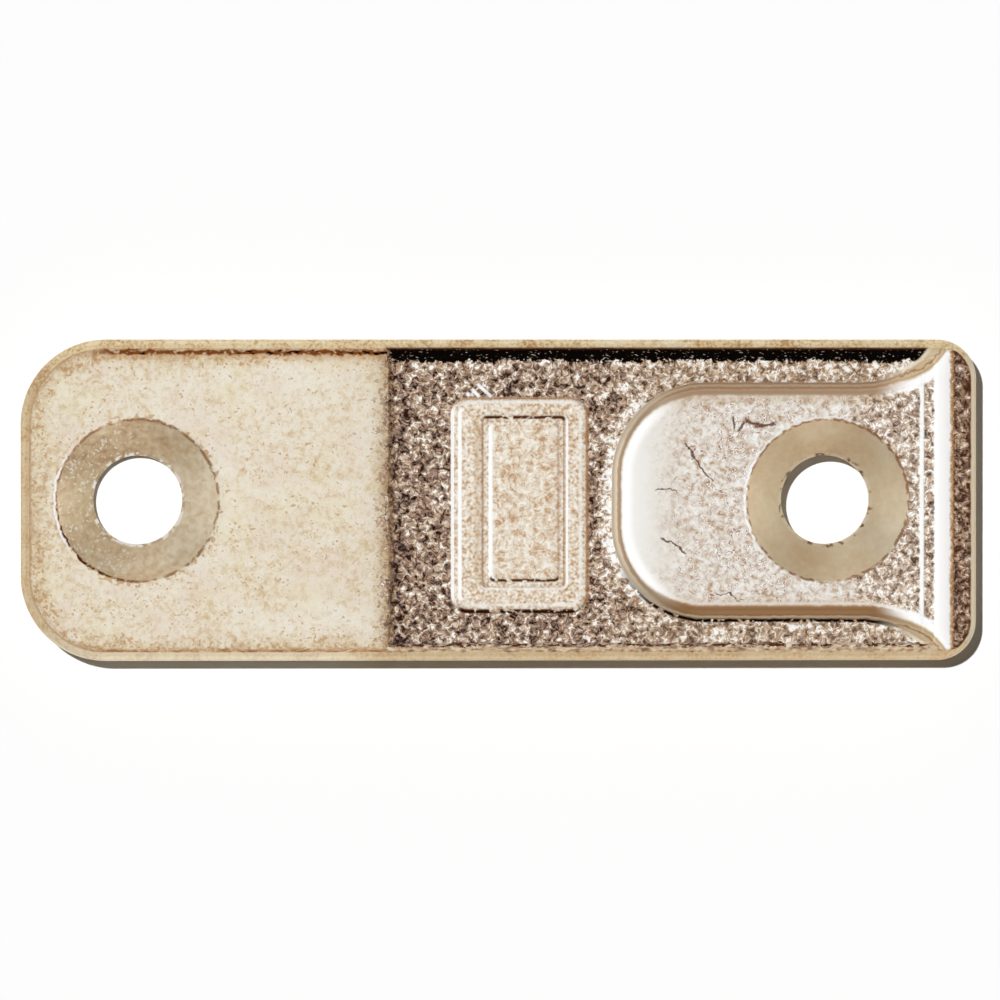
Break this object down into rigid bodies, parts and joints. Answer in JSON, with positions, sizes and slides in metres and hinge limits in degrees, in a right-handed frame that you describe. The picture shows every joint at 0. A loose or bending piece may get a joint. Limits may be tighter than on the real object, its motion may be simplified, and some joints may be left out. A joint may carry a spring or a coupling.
{
  "type": "door strike plate",
  "caption": "Narrow cast strike plate with a ramped tail, a raised land, a flared catch pocket and countersunk screw holes.",
  "frame": {"origin": "centre of the plate's outline, on the flat back face", "axes": "+X along the plate from the round tail to the open mouth, +Y across it, +Z out of the front face"},
  "size_m": [0.05, 0.0168, 0.0036],
  "materials": {
    "plated_metal": "rough cast and coined metal with a warm yellowish zinc plating, worn and stained"
  },
  "bodies": {
    "root": {"strike_plate": "plated_metal"}
  },
  "joints": []
}
